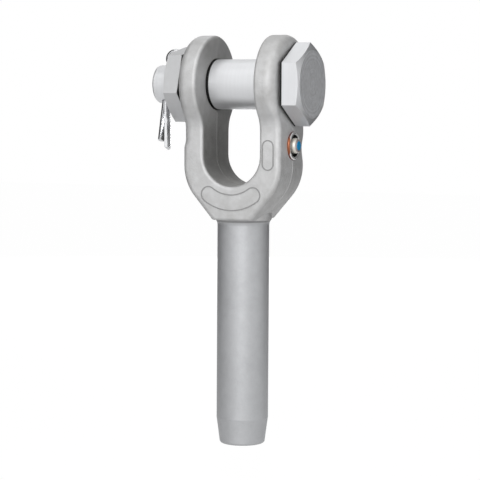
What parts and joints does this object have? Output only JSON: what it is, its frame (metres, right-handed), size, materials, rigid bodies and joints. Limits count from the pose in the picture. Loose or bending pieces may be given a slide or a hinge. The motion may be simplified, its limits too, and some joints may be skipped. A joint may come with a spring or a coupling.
{
  "type": "open swage socket",
  "caption": "Forged open swage socket for steel wire rope, with a fork closed by a hex head clevis bolt, nut and cotter pin.",
  "frame": {"origin": "centre of the rope bore's mouth, on the end face of the shank", "axes": "+Z along the shank towards the ears, +X along the bolt towards its head, -Y towards the side with the raised outlines"},
  "size_m": [0.1396, 0.0808, 0.34],
  "materials": {
    "forged_steel": "matt, blasted",
    "bolt_steel": "fine turned",
    "nut_steel": "satin",
    "cotter_steel": "bright",
    "tag_copper": "polished",
    "tag_filling": "matt",
    "plug_metal": "satin",
    "disc_blue": "gloss"
  },
  "bodies": {
    "socket": {"socket_body": "forged_steel", "tag_ring": "tag_copper", "tag_bed": "tag_filling", "tag_plug": "plug_metal", "tag_disc": "disc_blue"},
    "bolt": {"clevis_bolt": "bolt_steel", "nut": "nut_steel", "cotter_pin": "cotter_steel"}
  },
  "joints": [
    {"name": "bolt_turn", "type": "hinge", "parent": "socket", "child": "bolt", "pos_m": [0, 0, 0.2996], "axis": [1, 0, 0], "continuous": true}
  ]
}
